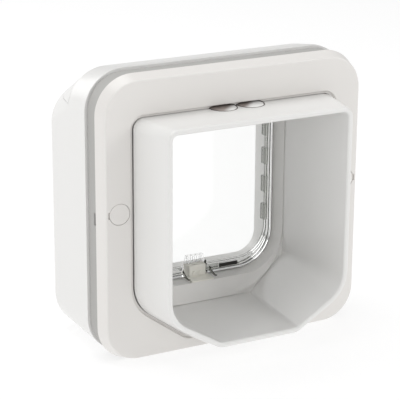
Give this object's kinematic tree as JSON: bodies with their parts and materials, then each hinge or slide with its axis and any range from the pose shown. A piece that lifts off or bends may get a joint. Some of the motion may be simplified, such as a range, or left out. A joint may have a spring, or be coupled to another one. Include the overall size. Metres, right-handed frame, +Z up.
{
  "type": "cat flap",
  "caption": "White plastic cat flap for a door: square outer frame, hood-like entrance tunnel, clear swinging flap with latches, and a deep indoor housing with a battery cover and a hand lock.",
  "frame": {"origin": "middle of the outer frame, on its back plane, where the door's outdoor face stands", "axes": "+X to the right seen from outdoors, +Y from outdoors into the house, +Z up"},
  "size_m": [0.21, 0.1328, 0.21],
  "materials": {
    "white_plastic": "smooth gloss",
    "inner_plastic": "satin",
    "grey_seal": "matt",
    "clear_plastic": "clear gloss",
    "window_glass": "smoked gloss",
    "dark_seal": "matt",
    "latch_plastic": "translucent satin",
    "magnet": "dull",
    "steel": "plain",
    "copper_wire": "wound wire",
    "board": "coated",
    "components": "moulded",
    "cell_jacket": "plain jacket",
    "contact": "plated",
    "light_pipe": "translucent",
    "button_grey": "satin"
  },
  "bodies": {
    "housing": {"outer_frame": "white_plastic", "screw_caps": "white_plastic", "door_gasket": "grey_seal", "entrance_tunnel": "white_plastic", "sensor_windows": "window_glass", "window_seals": "dark_seal", "flap_frame": "inner_plastic", "latch_guide": "latch_plastic", "guide_screws": "latch_plastic", "latch_solenoids": "components", "back_plate": "inner_plastic", "housing_cover": "white_plastic", "battery_wells": "inner_plastic", "battery_contacts": "contact", "batteries": "cell_jacket", "circuit_board": "board", "board_components": "components", "status_light": "light_pipe", "antenna_coil": "copper_wire", "fixing_screws": "steel", "tunnel_screws": "steel", "frame_screws": "steel", "cover_screws": "steel", "board_screws": "steel"},
    "swing_flap": {"flap": "clear_plastic", "flap_magnets": "magnet", "hinge_pins": "steel"},
    "outer_catch": {"outer_latch": "latch_plastic", "outer_plunger": "steel"},
    "inner_catch": {"inner_latch": "latch_plastic", "inner_plunger": "steel"},
    "push_button": {"learn_button": "button_grey"},
    "hand_lock": {"lock_slider": "button_grey"},
    "battery_lid": {"battery_cover": "white_plastic"}
  },
  "joints": [
    {"name": "flap_swing", "type": "hinge", "parent": "housing", "child": "swing_flap", "pos_m": [0, 0.0535, 0.062], "axis": [1, 0, 0], "range_deg": [-85, 85]},
    {"name": "outer_latch_lift", "type": "slide", "parent": "housing", "child": "outer_catch", "axis": [0, 0, 1], "range_m": [0, 0.005]},
    {"name": "inner_latch_lift", "type": "slide", "parent": "housing", "child": "inner_catch", "axis": [0, 0, 1], "range_m": [0, 0.005]},
    {"name": "learn_button_press", "type": "slide", "parent": "housing", "child": "push_button", "axis": [0, -1, 0], "range_m": [0, 0.0012], "stiffness_N_per_m": 300},
    {"name": "lock_slide", "type": "slide", "parent": "housing", "child": "hand_lock", "axis": [0, 0, 1], "range_m": [0, 0.008]},
    {"name": "battery_cover_lift", "type": "slide", "parent": "housing", "child": "battery_lid", "axis": [0, 0, 1], "range_m": [0, 0.03]}
  ]
}
